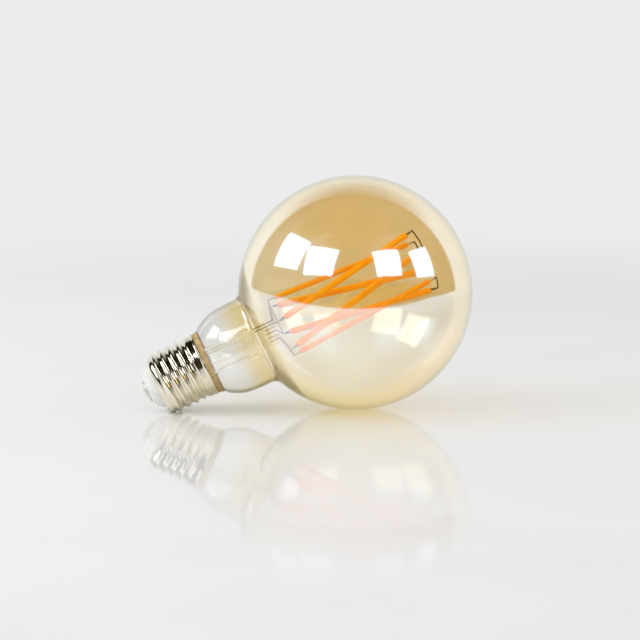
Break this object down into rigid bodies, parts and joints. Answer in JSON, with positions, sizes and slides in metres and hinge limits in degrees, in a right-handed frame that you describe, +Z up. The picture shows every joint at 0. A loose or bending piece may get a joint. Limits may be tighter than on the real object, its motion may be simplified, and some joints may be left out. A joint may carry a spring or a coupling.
{
  "type": "smart LED filament light bulb",
  "caption": "Globe-shaped amber LED filament lamp with a screw cap, slanted filaments on a glass stem and a radio-controlled driver in the cap.",
  "frame": {"origin": "centre of the flat tip of the centre contact", "axes": "+Z up the lamp's axis, from the screw cap to the crown of the globe; +X is an arbitrary direction across the cap"},
  "size_m": [0.095, 0.095, 0.142],
  "materials": {
    "amber_glass": "clear amber glass with a faint metallic gold bloom, smooth and glossy",
    "stem_glass": "clear lead-free glass, smooth",
    "nickel": "bright nickel-plated sheet with fine drawing lines",
    "insulator": "pale glazed insulator, slightly satin",
    "contact_metal": "tinned disc, worn dull",
    "solder": "soft solder, slightly matt and uneven",
    "cement": "baked golden-brown capping cement, matt",
    "phosphor": "orange phosphor silicone, satin",
    "strip_metal": "metallised filament strip and end pins",
    "wire_metal": "drawn nickel wire",
    "circuit_board": "green solder resist over glass-fibre laminate",
    "module_laminate": "blue-black solder resist",
    "package_black": "black moulded epoxy",
    "capacitor_sleeve": "black shrink sleeve over an aluminium can",
    "ferrite": "dark grey ferrite",
    "copper": "enamelled copper",
    "resistor_body": "flameproof lacquer",
    "shield_metal": "tinned shield can",
    "pin_metal": "gold-flashed pins",
    "sleeve_plastic": "white insulating sleeve",
    "wire_red": "red silicone insulation",
    "wire_white": "white silicone insulation"
  },
  "bodies": {
    "root": {"bridge_rectifier": "package_black", "cap_insulator": "insulator", "cap_shell": "nickel", "capping_cement": "cement", "centre_contact": "contact_metal", "choke_core": "ferrite", "choke_winding": "copper", "contact_solder": "solder", "driver_board": "circuit_board", "driver_chip": "package_black", "exhaust_tube": "stem_glass", "filament_strip_1": "strip_metal", "filament_strip_2": "strip_metal", "filament_strip_3": "strip_metal", "filament_strip_4": "strip_metal", "filament_strip_5": "strip_metal", "filament_strip_6": "strip_metal", "fusible_resistor": "resistor_body", "glass_envelope": "amber_glass", "input_capacitor": "capacitor_sleeve", "insulating_sleeve": "sleeve_plastic", "lead_in_wires": "wire_metal", "led_filament_1": "phosphor", "led_filament_2": "phosphor", "led_filament_3": "phosphor", "led_filament_4": "phosphor", "led_filament_5": "phosphor", "led_filament_6": "phosphor", "link_wires": "wire_metal", "live_wire": "wire_red", "module_antenna": "copper", "module_board": "module_laminate", "module_pins": "pin_metal", "module_shield": "shield_metal", "neutral_wire": "wire_metal", "output_wires": "wire_white", "stem_flare": "stem_glass", "support_wires": "wire_metal"}
  },
  "joints": []
}
